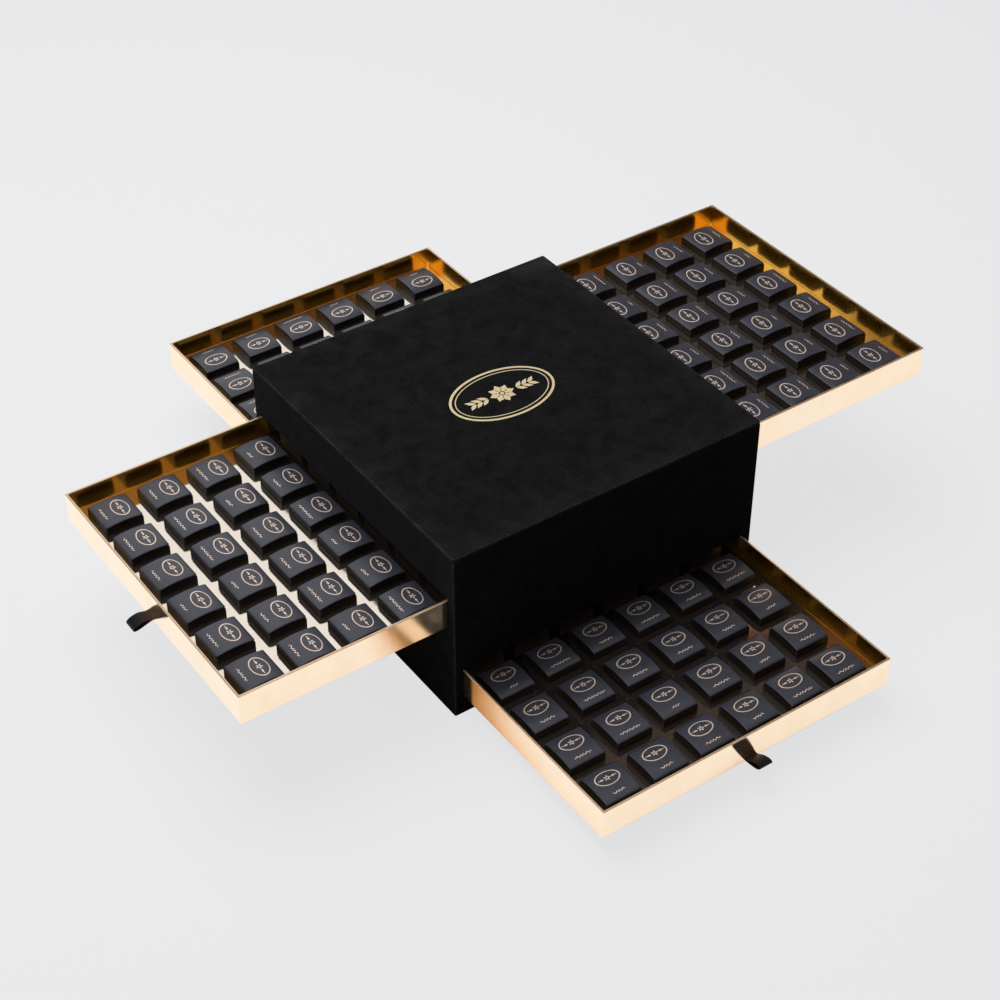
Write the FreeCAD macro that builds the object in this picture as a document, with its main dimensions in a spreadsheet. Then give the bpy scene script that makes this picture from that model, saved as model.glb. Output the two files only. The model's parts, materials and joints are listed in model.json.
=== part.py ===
"""A square velvet box with four gold trays of wrapped chocolates that slide out of its four faces.

The frame: Z is up, the origin is at the middle of the underside, and the front face looks along -Y.
Each tray and its cell are drawn as if they faced the front, and are then turned about Z to their own face.
"""
import FreeCAD, Part
import os
import re
from collections import namedtuple

import Sketcher

# Each face: its name, its quarter turns about Z from the front, and its tray's level from the lowest
Face = namedtuple("Face", "name turns level")
FACES = (Face("front", 0, 0), Face("back", 2, 1), Face("left", 3, 2), Face("right", 1, 3))
FRONT = FACES[0]

# Driving sizes in millimetres
SIZES = (
    ("box_side", "300", "side of the square box, over the velvet"),
    ("velvet_thick", "0.8", "velvet glued over the boards"),
    ("wall_board", "3.2", "board of the four walls"),
    ("base_board", "11", "board that the box stands on"),
    ("shelf_board", "6.5", "board under each tray"),
    ("ceiling_board", "4.6", "board over the highest tray"),
    ("top_board", "3.2", "board of the top, under its velvet"),
    ("guide_board", "3", "strip beside each tray"),
    ("side_play", "1.4", "clearance between a tray and its guide"),
    ("headroom", "1.5", "clearance above a tray's rim"),
    ("closing_gap", "0.5", "clearance between a closed tray and its rear stop"),
    ("tray_height", "28", "tray from its underside to its rim"),
    ("tray_wall", "2", "board of a tray's four sides"),
    ("tray_floor", "1.5", "board of a tray's floor"),
    ("platform_rise", "8.5", "top of the platform above the tray's underside"),
    ("platform_card", "1.2", "folded card of the platform"),
    ("platform_play", "0.6", "gap between the platform and the tray's sides"),
    ("chocolate_side", "33.5", "side of a wrapped chocolate"),
    ("chocolate_height", "9.5", "height of a wrapped chocolate"),
    ("chocolate_corner", "1.5", "rounding of its upright edges"),
    ("chocolate_round", "1.2", "rounding of its upper edges"),
    ("chocolate_margin", "10.35", "gap between the outer chocolates and the tray's sides"),
    ("chocolate_gap", "8", "least gap between two chocolates"),
    ("front_pull", "180.7", "how far the front tray is drawn out"),
    ("back_pull", "177.8", "how far the back tray is drawn out"),
    ("left_pull", "181.6", "how far the left tray is drawn out"),
    ("right_pull", "189.5", "how far the right tray is drawn out"),
    ("ribbon_width", "12", "width of a pull ribbon"),
    ("ribbon_thick", "0.5", "thickness of one layer of ribbon"),
    ("ribbon_reach", "18", "length of the ribbon's loop"),
    ("ribbon_swell", "8", "height of the ribbon's loop"),
    ("ribbon_tail", "14", "ribbon glued to the floor behind the face"),
    ("ribbon_play", "0.2", "clearance round the ribbon"),
    ("foil_thick", "0.1", "gold foil pressed on the top"),
    ("foil_length", "96", "length of the oval foil ornament"),
    ("foil_depth", "64", "depth of the oval foil ornament"),
    ("foil_band", "2.2", "width of the ornament's outer ring"),
    ("foil_space", "2.6", "space between its two rings"),
    ("foil_line", "0.9", "width of the ornament's inner ring"),
    ("foil_stone_length", "30", "length of the lozenge in its middle"),
    ("foil_stone_depth", "18", "depth of the lozenge in its middle"),
    ("overrun", "1", "how far a cutting block reaches past what it cuts"),
)

# Sizes that follow from the driving ones
DERIVED = (
    ("board_side", "=box_side - 2 * velvet_thick", "outside of the wall boards"),
    ("room_side", "=board_side - 2 * wall_board", "inside of the wall boards"),
    ("tray_side", "=room_side - 2 * (guide_board + side_play)", "side of a square tray"),
    ("tray_room", "=tray_side - 2 * tray_wall", "inside of a tray"),
    ("slot_width", "=tray_side + 2 * side_play", "width of a tray's slot"),
    ("slot_height", "=tray_height + headroom", "height of a tray's slot"),
    ("level_pitch", "=shelf_board + slot_height", "rise from one tray to the next"),
    ("first_floor", "=base_board + shelf_board", "underside of the lowest tray"),
    ("wall_height", f"=base_board + {len(FACES)} * level_pitch + ceiling_board", "height of the walls"),
    ("stop_depth", "=(room_side + box_side) / 2 - tray_side - closing_gap", "depth of a rear stop"),
    ("platform_side", "=tray_room - 2 * platform_play", "side of the platform"),
    ("slit_width", "=ribbon_width + 2 * ribbon_play", "width of the slit for the ribbon"),
    ("slit_height", "=2 * ribbon_thick + ribbon_play", "height of the slit for the ribbon"),
    ("chocolate_span", "=tray_room - 2 * chocolate_margin - chocolate_side", "first to last chocolate"),
    ("chocolate_rows", "=floor((chocolate_span + chocolate_side + chocolate_gap)"
                       " / (chocolate_side + chocolate_gap))", "chocolates in a row"),
)

QUARTER_TURN_DEGREES = 90
RIBBON_TILT_DEGREES = 12
UP = FreeCAD.Vector(0, 0, 1)

# Outlines of unit size, which the sheet's sizes then stretch, and a sketch's own origin
UNIT_SQUARE = ((0, 0), (1, 0), (1, 1), (0, 1))
LOZENGE = ((1, 0), (0, 1), (-1, 0), (0, -1))
SKETCH_ORIGIN = (-1, 1)

doc = FreeCAD.newDocument("ChocolateBox")
pieces = []


def fill_sheet():
    """Writes the driving and the derived sizes into the document's sheet."""
    sheet = doc.addObject("Spreadsheet::Sheet", "Sizes")
    for row, (alias, value, meaning) in enumerate(SIZES + DERIVED, start=1):
        sheet.set(f"A{row}", meaning)
        sheet.set(f"B{row}", value)
        sheet.setAlias(f"B{row}", alias)
    doc.recompute()


def sized(text):
    """Turns the size names in an expression into references to the sheet."""
    return re.sub(r"[a-z_]+", lambda name: "Sizes." + name.group(), text)


def bind(thing, **sizes):
    """Binds properties of an object to expressions of size names."""
    for name, text in sizes.items():
        thing.setExpression(name, sized(text))
    return thing


def turned(face, x, y):
    """Gives the X and Y expressions of a point that is drawn as if its face were the front."""
    return ((x, y), (f"-({y})", x), (f"-({x})", f"-({y})"), (y, f"-({x})"))[face.turns]


def place(thing, x, y, z, face=FRONT):
    """Puts an object at a point of the face's frame, turned with the face."""
    turn = FreeCAD.Rotation(UP, face.turns * QUARTER_TURN_DEGREES)
    thing.Placement = FreeCAD.Placement(FreeCAD.Vector(), turn)
    across, along = turned(face, x, y)
    for axis, text in (("x", across), ("y", along), ("z", z)):
        thing.setExpression(f"Placement.Base.{axis}", sized(text))
    return thing


def block(name, length, width, height):
    """Makes a box whose sizes are expressions of size names."""
    return bind(doc.addObject("Part::Box", name), Length=length, Width=width, Height=height)


def cut(name, base, tool):
    """Takes one object away from another."""
    result = doc.addObject("Part::Cut", name)
    result.Base = base
    result.Tool = tool
    return result


def group(name, members):
    """Keeps several separate solids together in one object."""
    result = doc.addObject("Part::Compound", name)
    result.Links = members
    return result


def oval(name, length, depth, thick):
    """Makes an oval plate, with its length along X, whose sizes are expressions of size names."""
    outline = doc.addObject("Part::Ellipse", f"{name}_outline")
    bind(outline, MajorRadius=f"({length}) / 2", MinorRadius=f"({depth}) / 2")
    plate = doc.addObject("Part::Extrusion", name)
    plate.Base = outline
    plate.DirMode = "Custom"
    plate.Dir = UP
    plate.Solid = True
    return bind(plate, LengthFwd=thick)


def oval_ring(name, length, depth, band, thick):
    """Makes an oval ring of a given band, with its length along X."""
    hole = oval(f"{name}_hole", f"{length} - 2 * ({band})", f"{depth} - 2 * ({band})", thick)
    return cut(name, oval(f"{name}_plate", length, depth, thick), hole)


def piece(thing):
    """Keeps an object as a sub-part of the box, under its own name."""
    thing.Label = thing.Name
    pieces.append(thing)


def origin_part(body, role):
    """Finds a plane or an axis of a body's own origin."""
    return next(part for part in body.Origin.OriginFeatures if part.Role == role)


def draw_outline(body, corners):
    """Draws a closed outline of straight lines in a body's XY plane, each starting at one of the corners."""
    sketch = body.newObject("Sketcher::SketchObject", f"{body.Name}_sketch")
    sketch.AttachmentSupport = [(origin_part(body, "XY_Plane"), "")]
    sketch.MapMode = "FlatFace"
    points = [FreeCAD.Vector(x, y, 0) for x, y in corners]
    count = len(points)
    for start in range(count):
        sketch.addGeometry(Part.LineSegment(points[start], points[(start + 1) % count]))
    for start in range(count):
        sketch.addConstraint(Sketcher.Constraint("Coincident", start, 2, (start + 1) % count, 1))
    return sketch


def bind_distance(sketch, kind, start, end, size):
    """Adds a distance between two points of a sketch and binds it to a size."""
    number = sketch.addConstraint(Sketcher.Constraint(kind, *start, *end, 1.0))
    sketch.setExpression(f"Constraints[{number}]", sized(size))


def level_floor(face):
    """Gives the height of the shelf that carries a face's tray."""
    return f"first_floor + {face.level} * level_pitch"


def slot_block(face, name, depth):
    """Makes the block that cuts a face's slot through walls up to a given depth."""
    slot = block(name, "slot_width", f"{depth} + 2 * overrun", "slot_height")
    return place(slot, "-slot_width / 2", "-box_side / 2 - overrun", level_floor(face), face)


def make_carcass():
    """Makes the base, the walls, the top and the velvet over them."""
    base = block("base_board", "room_side", "room_side", "base_board")
    piece(place(base, "-room_side / 2", "-room_side / 2", "0"))
    ceiling = block("ceiling_board", "room_side", "room_side", "ceiling_board")
    piece(place(ceiling, "-room_side / 2", "-room_side / 2", "wall_height - ceiling_board"))
    top = block("top_board", "board_side", "board_side", "top_board")
    piece(place(top, "-board_side / 2", "-board_side / 2", "wall_height"))

    # The front and back walls run the full width, and the other two stand between them
    for face in FACES:
        length = "room_side" if face.turns % 2 else "board_side"
        blank = block(f"{face.name}_wall_blank", length, "wall_board", "wall_height")
        place(blank, f"-{length} / 2", "-board_side / 2", "0", face)
        slot = slot_block(face, f"{face.name}_wall_slot", "wall_board + velvet_thick")
        piece(cut(f"{face.name}_wall", blank, slot))

    outside = block("wall_velvet_outside", "box_side", "box_side", "wall_height")
    place(outside, "-box_side / 2", "-box_side / 2", "0")
    inside = block("wall_velvet_inside", "board_side", "board_side", "wall_height + 2 * overrun")
    place(inside, "-board_side / 2", "-board_side / 2", "-overrun")
    slots = [slot_block(face, f"{face.name}_velvet_slot", "velvet_thick") for face in FACES]
    sleeve = cut("wall_velvet_sleeve", outside, inside)
    piece(cut("wall_velvet", sleeve, group("wall_velvet_slots", slots)))

    cover = block("top_velvet_outside", "box_side", "box_side", "top_board + velvet_thick")
    place(cover, "-box_side / 2", "-box_side / 2", "wall_height")
    under = block("top_velvet_inside", "board_side", "board_side", "top_board + overrun")
    place(under, "-board_side / 2", "-board_side / 2", "wall_height - overrun")
    piece(cut("top_velvet", cover, under))


def make_foil():
    """Makes the gold ornament on the top: two oval rings round a lozenge."""
    outer = oval_ring("foil_outer_ring", "foil_length", "foil_depth", "foil_band", "foil_thick")
    step = "2 * (foil_band + foil_space)"
    length, depth = f"foil_length - {step}", f"foil_depth - {step}"
    inner = oval_ring("foil_inner_ring", length, depth, "foil_line", "foil_thick")

    stone = doc.addObject("PartDesign::Body", "foil_stone")
    right, far, left, near = range(len(LOZENGE))
    sketch = draw_outline(stone, LOZENGE)
    for start, end, lines_up, kind, size in ((left, right, "Horizontal", "DistanceX", "foil_stone_length"),
                                             (near, far, "Vertical", "DistanceY", "foil_stone_depth")):
        sketch.addConstraint(Sketcher.Constraint(lines_up, start, 1, end, 1))
        sketch.addConstraint(Sketcher.Constraint("Symmetric", start, 1, end, 1, *SKETCH_ORIGIN))
        bind_distance(sketch, kind, (start, 1), (end, 1), size)
    pad = stone.newObject("PartDesign::Pad", "foil_stone_pad")
    pad.Profile = sketch
    bind(pad, Length="foil_thick")

    foil = group("top_foil", [outer, inner, stone])
    piece(place(foil, "0", "0", "wall_height + top_board + velvet_thick"))


def make_cell(face):
    """Makes the shelf, the side guides and the rear stop that a tray slides in."""
    shelf = block(f"{face.name}_shelf", "room_side", "room_side", "shelf_board")
    piece(place(shelf, "-room_side / 2", "-room_side / 2", f"{level_floor(face)} - shelf_board", face))

    guides = []
    for name, x in (("left", "-room_side / 2"), ("right", "room_side / 2 - guide_board")):
        guide = block(f"{face.name}_guide_{name}", "guide_board", "room_side - stop_depth", "slot_height")
        guides.append(place(guide, x, "-room_side / 2", level_floor(face), face))
    piece(group(f"{face.name}_guides", guides))

    stop = block(f"{face.name}_stop", "room_side", "stop_depth", "slot_height")
    piece(place(stop, "-room_side / 2", "room_side / 2 - stop_depth", level_floor(face), face))


def in_tray(thing, face, x, y, z):
    """Puts an object at a point measured from the middle of a tray's underside."""
    middle = f"-(box_side / 2 + {face.name}_pull - tray_side / 2)"
    return place(thing, x, f"{middle} + ({y})", f"{level_floor(face)} + ({z})", face)


def make_tray_boards(face):
    """Makes a tray's floor, face, rear and sides."""
    tray = f"{face.name}_tray"
    floor = block(f"{tray}_floor", "tray_room", "tray_room", "tray_floor")
    piece(in_tray(floor, face, "-tray_room / 2", "-tray_room / 2", "0"))

    blank = block(f"{tray}_face_blank", "tray_side", "tray_wall", "tray_height")
    in_tray(blank, face, "-tray_side / 2", "-tray_side / 2", "0")
    slit = block(f"{tray}_face_slit", "slit_width", "tray_wall + 2 * overrun", "slit_height")
    in_tray(slit, face, "-slit_width / 2", "-tray_side / 2 - overrun", "tray_floor")
    piece(cut(f"{tray}_face", blank, slit))

    rear = block(f"{tray}_rear", "tray_side", "tray_wall", "tray_height")
    piece(in_tray(rear, face, "-tray_side / 2", "tray_room / 2", "0"))
    for name, x in (("left", "-tray_side / 2"), ("right", "tray_room / 2")):
        side = block(f"{tray}_side_{name}", "tray_wall", "tray_room", "tray_height")
        piece(in_tray(side, face, x, "-tray_room / 2", "0"))


def make_platform(face):
    """Makes the folded card that raises the chocolates, with its four edges turned down to the floor."""
    name = f"{face.name}_tray_platform"
    outside = block(f"{name}_outside", "platform_side", "platform_side", "platform_rise - tray_floor")
    in_tray(outside, face, "-platform_side / 2", "-platform_side / 2", "tray_floor")
    room = "platform_side - 2 * platform_card"
    inside = block(f"{name}_inside", room, room, "platform_rise - tray_floor - platform_card + overrun")
    in_tray(inside, face, f"-({room}) / 2", f"-({room}) / 2", "tray_floor - overrun")
    # The ribbon's tail passes under the turned-down edge at the face
    notch = block(f"{name}_notch", "slit_width", "platform_card + 2 * overrun", "slit_height + overrun")
    in_tray(notch, face, "-slit_width / 2", "-platform_side / 2 - overrun", "tray_floor - overrun")
    piece(cut(name, cut(f"{name}_shell", outside, inside), notch))


def make_ribbon(face):
    """Makes the ribbon loop that a tray is pulled by, with its two ends glued behind the face."""
    name = f"{face.name}_tray_ribbon"
    ring = oval_ring(f"{name}_ring", "ribbon_reach", "ribbon_swell", "ribbon_thick", "ribbon_width")
    # The oval's own X axis points out of the tray, its own Y axis points up and its own Z axis lies across
    upright = FreeCAD.Rotation(FreeCAD.Vector(0, -1, 0), UP, FreeCAD.Vector(-1, 0, 0), "ZXY")
    tilt = FreeCAD.Rotation(FreeCAD.Vector(-1, 0, 0), RIBBON_TILT_DEGREES)
    ring.Placement = FreeCAD.Placement(FreeCAD.Vector(), tilt * upright)
    level = f"cos({RIBBON_TILT_DEGREES})"
    rise = f"sin({RIBBON_TILT_DEGREES})"
    reach = "(Sizes.ribbon_reach / 2)"
    root = "Sizes.tray_side / 2 + Sizes.ribbon_play"
    ring.setExpression("Placement.Base.x", "Sizes.ribbon_width / 2")
    ring.setExpression("Placement.Base.y", f"-({root}) - {reach} * {level}")
    ring.setExpression("Placement.Base.z", f"Sizes.tray_floor + Sizes.ribbon_thick + {reach} * {rise}")

    # The two layers of the tail run from inside the loop's root back through the slit
    tail = block(f"{name}_tail", "ribbon_width", "ribbon_tail + tray_wall + ribbon_play + ribbon_thick",
                 "2 * ribbon_thick")
    place(tail, "-ribbon_width / 2", "-tray_side / 2 - ribbon_play - ribbon_thick", "tray_floor")
    whole = doc.addObject("Part::Fuse", name)
    whole.Base = ring
    whole.Tool = tail
    piece(in_tray(whole, face, "0", "0", "0"))


def make_chocolates(face):
    """Makes the grid of wrapped chocolates that stands on a tray's platform."""
    name = f"{face.name}_tray_chocolates"
    body = doc.addObject("PartDesign::Body", name)
    body.AllowCompound = True
    sketch = draw_outline(body, UNIT_SQUARE)
    for line in range(len(UNIT_SQUARE)):
        sketch.addConstraint(Sketcher.Constraint("Vertical" if line % 2 else "Horizontal", line))
    sketch.addConstraint(Sketcher.Constraint("Coincident", 0, 1, *SKETCH_ORIGIN))
    bind_distance(sketch, "DistanceX", (0, 1), (0, 2), "chocolate_side")
    bind_distance(sketch, "DistanceY", (1, 1), (1, 2), "chocolate_side")
    pad = body.newObject("PartDesign::Pad", f"{name}_pad")
    pad.Profile = sketch
    bind(pad, Length="chocolate_height")
    doc.recompute()

    upright = [f"Edge{number}" for number, edge in enumerate(pad.Shape.Edges, start=1)
               if edge.BoundBox.ZLength > edge.Length / 2]
    corner = body.newObject("PartDesign::Fillet", f"{name}_corners")
    corner.Base = (pad, upright)
    bind(corner, Radius="chocolate_corner")
    doc.recompute()

    middle = corner.Shape.BoundBox.Center.z
    upper = [f"Edge{number}" for number, edge in enumerate(corner.Shape.Edges, start=1)
             if edge.BoundBox.ZMin > middle]
    rounded = body.newObject("PartDesign::Fillet", f"{name}_rounding")
    rounded.Base = (corner, upper)
    bind(rounded, Radius="chocolate_round")
    doc.recompute()

    grid = body.newObject("PartDesign::LinearPattern", f"{name}_grid")
    grid.TransformMode = "Whole shape"
    grid.Direction = (origin_part(body, "X_Axis"), [""])
    grid.Direction2 = (origin_part(body, "Y_Axis"), [""])
    bind(grid, Length="chocolate_span", Length2="chocolate_span",
         Occurrences="chocolate_rows", Occurrences2="chocolate_rows")
    body.Tip = grid
    first = "-tray_room / 2 + chocolate_margin"
    piece(in_tray(body, face, first, first, "platform_rise"))


def check_and_write():
    """Recomputes the document, checks every object and writes each sub-part to its own file."""
    doc.recompute()
    for thing in doc.Objects:
        if "Invalid" in thing.State or "Error" in thing.State:
            raise RuntimeError(f"{thing.Name} failed: {thing.State}")
    for thing in pieces:
        if thing.Shape.isNull() or not thing.Shape.isValid() or not thing.Shape.Solids:
            raise RuntimeError(f"{thing.Label} has no valid solid")
    os.makedirs("parts", exist_ok=True)
    for thing in pieces:
        thing.Shape.exportStep(f"parts/{thing.Label}.step")
        print(f"{thing.Label}: {len(thing.Shape.Solids)} solids, {thing.Shape.Volume:.1f} mm3")


fill_sheet()
make_carcass()
make_foil()
for tray_face in FACES:
    make_cell(tray_face)
    make_tray_boards(tray_face)
    make_platform(tray_face)
    make_ribbon(tray_face)
    make_chocolates(tray_face)
check_and_write()
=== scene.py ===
"""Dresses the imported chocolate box: velvet case, stamped lid, gold trays, ribbons and wrapped chocolates."""

import json
import logging
import math
import random
from contextlib import contextmanager
from dataclasses import dataclass
from enum import Enum
from typing import Callable, Iterator, Sequence

import bmesh
import bpy
from mathutils import Matrix, Vector

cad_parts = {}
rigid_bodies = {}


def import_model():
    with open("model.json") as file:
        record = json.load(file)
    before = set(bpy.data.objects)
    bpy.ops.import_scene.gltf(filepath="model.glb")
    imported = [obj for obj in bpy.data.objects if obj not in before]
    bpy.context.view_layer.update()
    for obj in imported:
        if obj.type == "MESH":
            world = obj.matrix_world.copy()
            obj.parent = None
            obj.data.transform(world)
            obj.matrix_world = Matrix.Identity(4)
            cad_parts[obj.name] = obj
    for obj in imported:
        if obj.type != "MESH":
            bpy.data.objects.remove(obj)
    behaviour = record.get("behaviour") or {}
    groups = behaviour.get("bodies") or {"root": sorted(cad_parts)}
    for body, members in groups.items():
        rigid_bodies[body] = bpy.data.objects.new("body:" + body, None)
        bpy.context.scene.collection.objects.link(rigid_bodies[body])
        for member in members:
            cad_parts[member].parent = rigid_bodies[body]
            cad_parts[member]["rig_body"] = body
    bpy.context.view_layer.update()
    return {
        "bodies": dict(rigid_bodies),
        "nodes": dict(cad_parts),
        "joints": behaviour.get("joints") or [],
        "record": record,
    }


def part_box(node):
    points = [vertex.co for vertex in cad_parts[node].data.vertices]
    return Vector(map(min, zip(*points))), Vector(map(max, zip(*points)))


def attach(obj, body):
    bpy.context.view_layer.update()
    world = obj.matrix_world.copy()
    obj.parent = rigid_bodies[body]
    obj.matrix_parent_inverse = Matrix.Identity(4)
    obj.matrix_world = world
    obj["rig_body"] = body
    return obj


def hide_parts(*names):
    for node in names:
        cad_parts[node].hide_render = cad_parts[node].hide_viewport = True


log = logging.getLogger("chocolate_box")

MM = 0.001

# How much of a normal or a direction lies along an axis before it counts as pointing that way
TILTED_SHARE = 0.1
MOSTLY_SHARE = 0.5
NEARLY_SHARE = 0.9
WHOLLY_SHARE = 0.99

# Edges sharper than this are bevelled, and large faces outweigh small ones this much in the shading
SHARP_DEGREES = 60.0
FLAT_WEIGHT = 100

# The usual levels of an uneven pattern, and how finely its patches and grain are drawn
UNEVEN_LOW_SHARE = 0.3
UNEVEN_HIGH_SHARE = 0.7
PATCH_DETAIL = 3.0
PATCH_SWIRL = 0.6
GRAIN_DETAIL = 2.0
PLAIN_DETAIL = 1.0

MIDDLE_SHARE = 0.5
UNIT_RADIUS = 0.5

Colour = tuple[float, float, float]
Place = tuple[float, float, float]
Material = bpy.types.Material
Node = bpy.types.Node
Piece = bpy.types.Object
Socket = bpy.types.NodeSocket
PlaceTest = Callable[[Vector, Vector], bool]

BLACK: Colour = (0.0, 0.0, 0.0)


class Side(Enum):
    """The four sides of the box, each with the quarter turns that lead to it from the front."""

    FRONT = 0
    RIGHT = 1
    BACK = 2
    LEFT = 3

    @property
    def word(self) -> str:
        """The side's name as the nodes spell it."""
        return self.name.lower()

    @property
    def tray(self) -> str:
        """The name of the tray that slides out of this side."""
        return f"{self.word}_tray"

    def turn(self) -> Matrix:
        """The turn about the box's upright axis that brings the front to this side."""
        return Matrix.Rotation(self.value * math.pi / 2, 4, "Z")


class Slot(Enum):
    """The material slots of the record that new pieces take."""

    VELVET = "velvet"
    GOLD_BOARD = "gold_board"
    GOLD_CARD = "gold_card"
    WRAPPER = "wrapper"
    RIBBON = "ribbon"
    FOIL = "foil"


class Grow(Enum):
    """The side of a sheet on which it gets its thickness."""

    INWARD = -1.0
    BOTH = 0.0
    OUTWARD = 1.0


class BoardFace(Enum):
    """The kinds of face that a tray's boards have, in the order of their materials."""

    OUTSIDE = 0
    INSIDE = 1
    RIM = 2


class Mix(Enum):
    """What a mix node mixes, with its type, the first of its two inputs and its output."""

    NUMBER = ("FLOAT", 2, 0)
    COLOUR = ("RGBA", 6, 2)


# Modelling bench


def clear_selection() -> None:
    """Leaves edit mode and deselects everything."""
    if bpy.context.object and bpy.context.object.mode != "OBJECT":
        bpy.ops.object.mode_set(mode="OBJECT")
    bpy.ops.object.select_all(action="DESELECT")


def take(piece: Piece) -> None:
    """Makes a piece the only selected and the active one.

    Args:
        piece: The object to work on.
    """
    clear_selection()
    piece.select_set(True)
    bpy.context.view_layer.objects.active = piece


def add_block(name: str, size: Vector, centre: Vector) -> Piece:
    """Adds a cube primitive at its size and place.

    Args:
        name: The object's name.
        size: Its three sides in metres.
        centre: Its middle in metres.

    Returns:
        The new object, with its size and place in its mesh.
    """
    clear_selection()
    bpy.ops.mesh.primitive_cube_add(size=1, location=centre)
    block = bpy.context.object
    block.name = name
    block.scale = size
    bpy.ops.object.transform_apply(location=True, rotation=True, scale=True)
    return block


@contextmanager
def editing(piece: Piece) -> Iterator[None]:
    """Opens a piece in edit mode with nothing selected, and closes it again.

    Args:
        piece: The object to edit.

    Yields:
        Nothing, while the piece is in edit mode.
    """
    take(piece)
    bpy.ops.object.mode_set(mode="EDIT")
    unselected(piece, "FACE")
    yield
    bpy.ops.object.mode_set(mode="OBJECT")


def unselected(piece: Piece, element: str) -> bmesh.types.BMesh:
    """Deselects everything in edit mode.

    Args:
        piece: The object in edit mode.
        element: The kind of element to select next, VERT, EDGE or FACE.

    Returns:
        The mesh that is edited.
    """
    bpy.ops.mesh.select_mode(type=element)
    bpy.ops.mesh.select_all(action="DESELECT")
    return bmesh.from_edit_mesh(piece.data)


def pick_all() -> None:
    """Selects everything in edit mode."""
    bpy.ops.mesh.select_all(action="SELECT")


def pick_faces(piece: Piece, test: PlaceTest) -> None:
    """Selects the faces that a test accepts and no others.

    Args:
        piece: The object in edit mode.
        test: Takes a face's middle and its normal.
    """
    mesh = unselected(piece, "FACE")
    mesh.normal_update()
    for face in mesh.faces:
        face.select_set(test(face.calc_center_median(), face.normal))
    bmesh.update_edit_mesh(piece.data)


def pick_edges(piece: Piece, test: PlaceTest) -> None:
    """Selects the edges that a test accepts and no others.

    Args:
        piece: The object in edit mode.
        test: Takes an edge's middle and its direction.
    """
    mesh = unselected(piece, "EDGE")
    for edge in mesh.edges:
        first, last = edge.verts[0].co, edge.verts[1].co
        edge.select_set(test((first + last) / 2, (last - first).normalized()))
    bmesh.update_edit_mesh(piece.data)


def pick_points(piece: Piece, test: Callable[[Vector], bool]) -> None:
    """Selects the vertices that a test accepts and no others.

    Args:
        piece: The object in edit mode.
        test: Takes a vertex's place.
    """
    mesh = unselected(piece, "VERT")
    for point in mesh.verts:
        point.select_set(test(point.co))
    mesh.select_flush_mode()
    bmesh.update_edit_mesh(piece.data)


def drop_faces(piece: Piece, test: PlaceTest) -> None:
    """Deletes the faces that a test accepts, of a piece in edit mode."""
    pick_faces(piece, test)
    bpy.ops.mesh.delete(type="FACE")


def push(offset: Sequence[float]) -> None:
    """Moves what is selected in edit mode by an offset in metres."""
    bpy.ops.transform.translate(value=offset)


def slice_selected(point: Sequence[float], normal: Sequence[float]) -> None:
    """Cuts what is selected in edit mode along a plane, and keeps both halves."""
    bpy.ops.mesh.bisect(plane_co=point, plane_no=normal, use_fill=False)


def round_edges(width: float, segments: int) -> None:
    """Bevels the edges that are selected in edit mode."""
    bpy.ops.mesh.bevel(offset=width, offset_type="OFFSET", segments=segments, affect="EDGES")


def apply_modifier(piece: Piece, kind: str, **settings: object) -> None:
    """Adds a modifier to a piece and applies it.

    Args:
        piece: The object to change.
        kind: The modifier's type.
        **settings: Values for the modifier's own properties.
    """
    take(piece)
    modifier = piece.modifiers.new(kind.title(), kind)
    for name, value in settings.items():
        setattr(modifier, name, value)
    bpy.ops.object.modifier_apply(modifier=modifier.name)


def thicken(piece: Piece, thickness: float, grow: Grow) -> None:
    """Gives a sheet its thickness, which is kept even round the corners of a sheet that grows inward."""
    even = grow is Grow.INWARD
    apply_modifier(piece, "SOLIDIFY", thickness=thickness, offset=grow.value, use_even_offset=even)


def soften_edges(piece: Piece, width: float, segments: int) -> None:
    """Bevels all the sharp edges of a piece."""
    limit = math.radians(SHARP_DEGREES)
    apply_modifier(piece, "BEVEL", width=width, segments=segments, limit_method="ANGLE", angle_limit=limit)


def carve(piece: Piece, cutter: Piece) -> None:
    """Cuts a shape out of a piece and deletes the cutter."""
    apply_modifier(piece, "BOOLEAN", operation="DIFFERENCE", solver="EXACT", object=cutter)
    bpy.data.objects.remove(cutter)


def smooth(piece: Piece, degrees: float) -> None:
    """Shades a piece smooth and keeps its large faces flat.

    Args:
        piece: The object to shade.
        degrees: The angle between two faces from which their edge stays sharp.
    """
    take(piece)
    bpy.ops.object.shade_smooth_by_angle(angle=math.radians(degrees))
    apply_modifier(piece, "WEIGHTED_NORMAL", keep_sharp=True, weight=FLAT_WEIGHT)


def copy_of(piece: Piece, place: Matrix) -> Piece:
    """Copies a piece with a mesh of its own.

    Args:
        piece: The object to copy.
        place: Where the copy goes, applied to its mesh.

    Returns:
        The copy.
    """
    twin = piece.copy()
    twin.data = piece.data.copy()
    twin.data.transform(place)
    bpy.context.scene.collection.objects.link(twin)
    return twin


def join(pieces: Sequence[Piece], name: str) -> Piece:
    """Joins pieces into one.

    Args:
        pieces: The objects to join.
        name: The name of the result.

    Returns:
        The joined object.
    """
    take(pieces[0])
    for piece in pieces[1:]:
        piece.select_set(True)
    bpy.ops.object.join()
    pieces[0].name = name
    return pieces[0]


def dress(piece: Piece, *materials: Material) -> None:
    """Gives a piece its materials in place of any that it has.

    Args:
        piece: The object to dress.
        *materials: Its materials, in the order of its slots.
    """
    piece.data.materials.clear()
    for material in materials:
        piece.data.materials.append(material)


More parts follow.
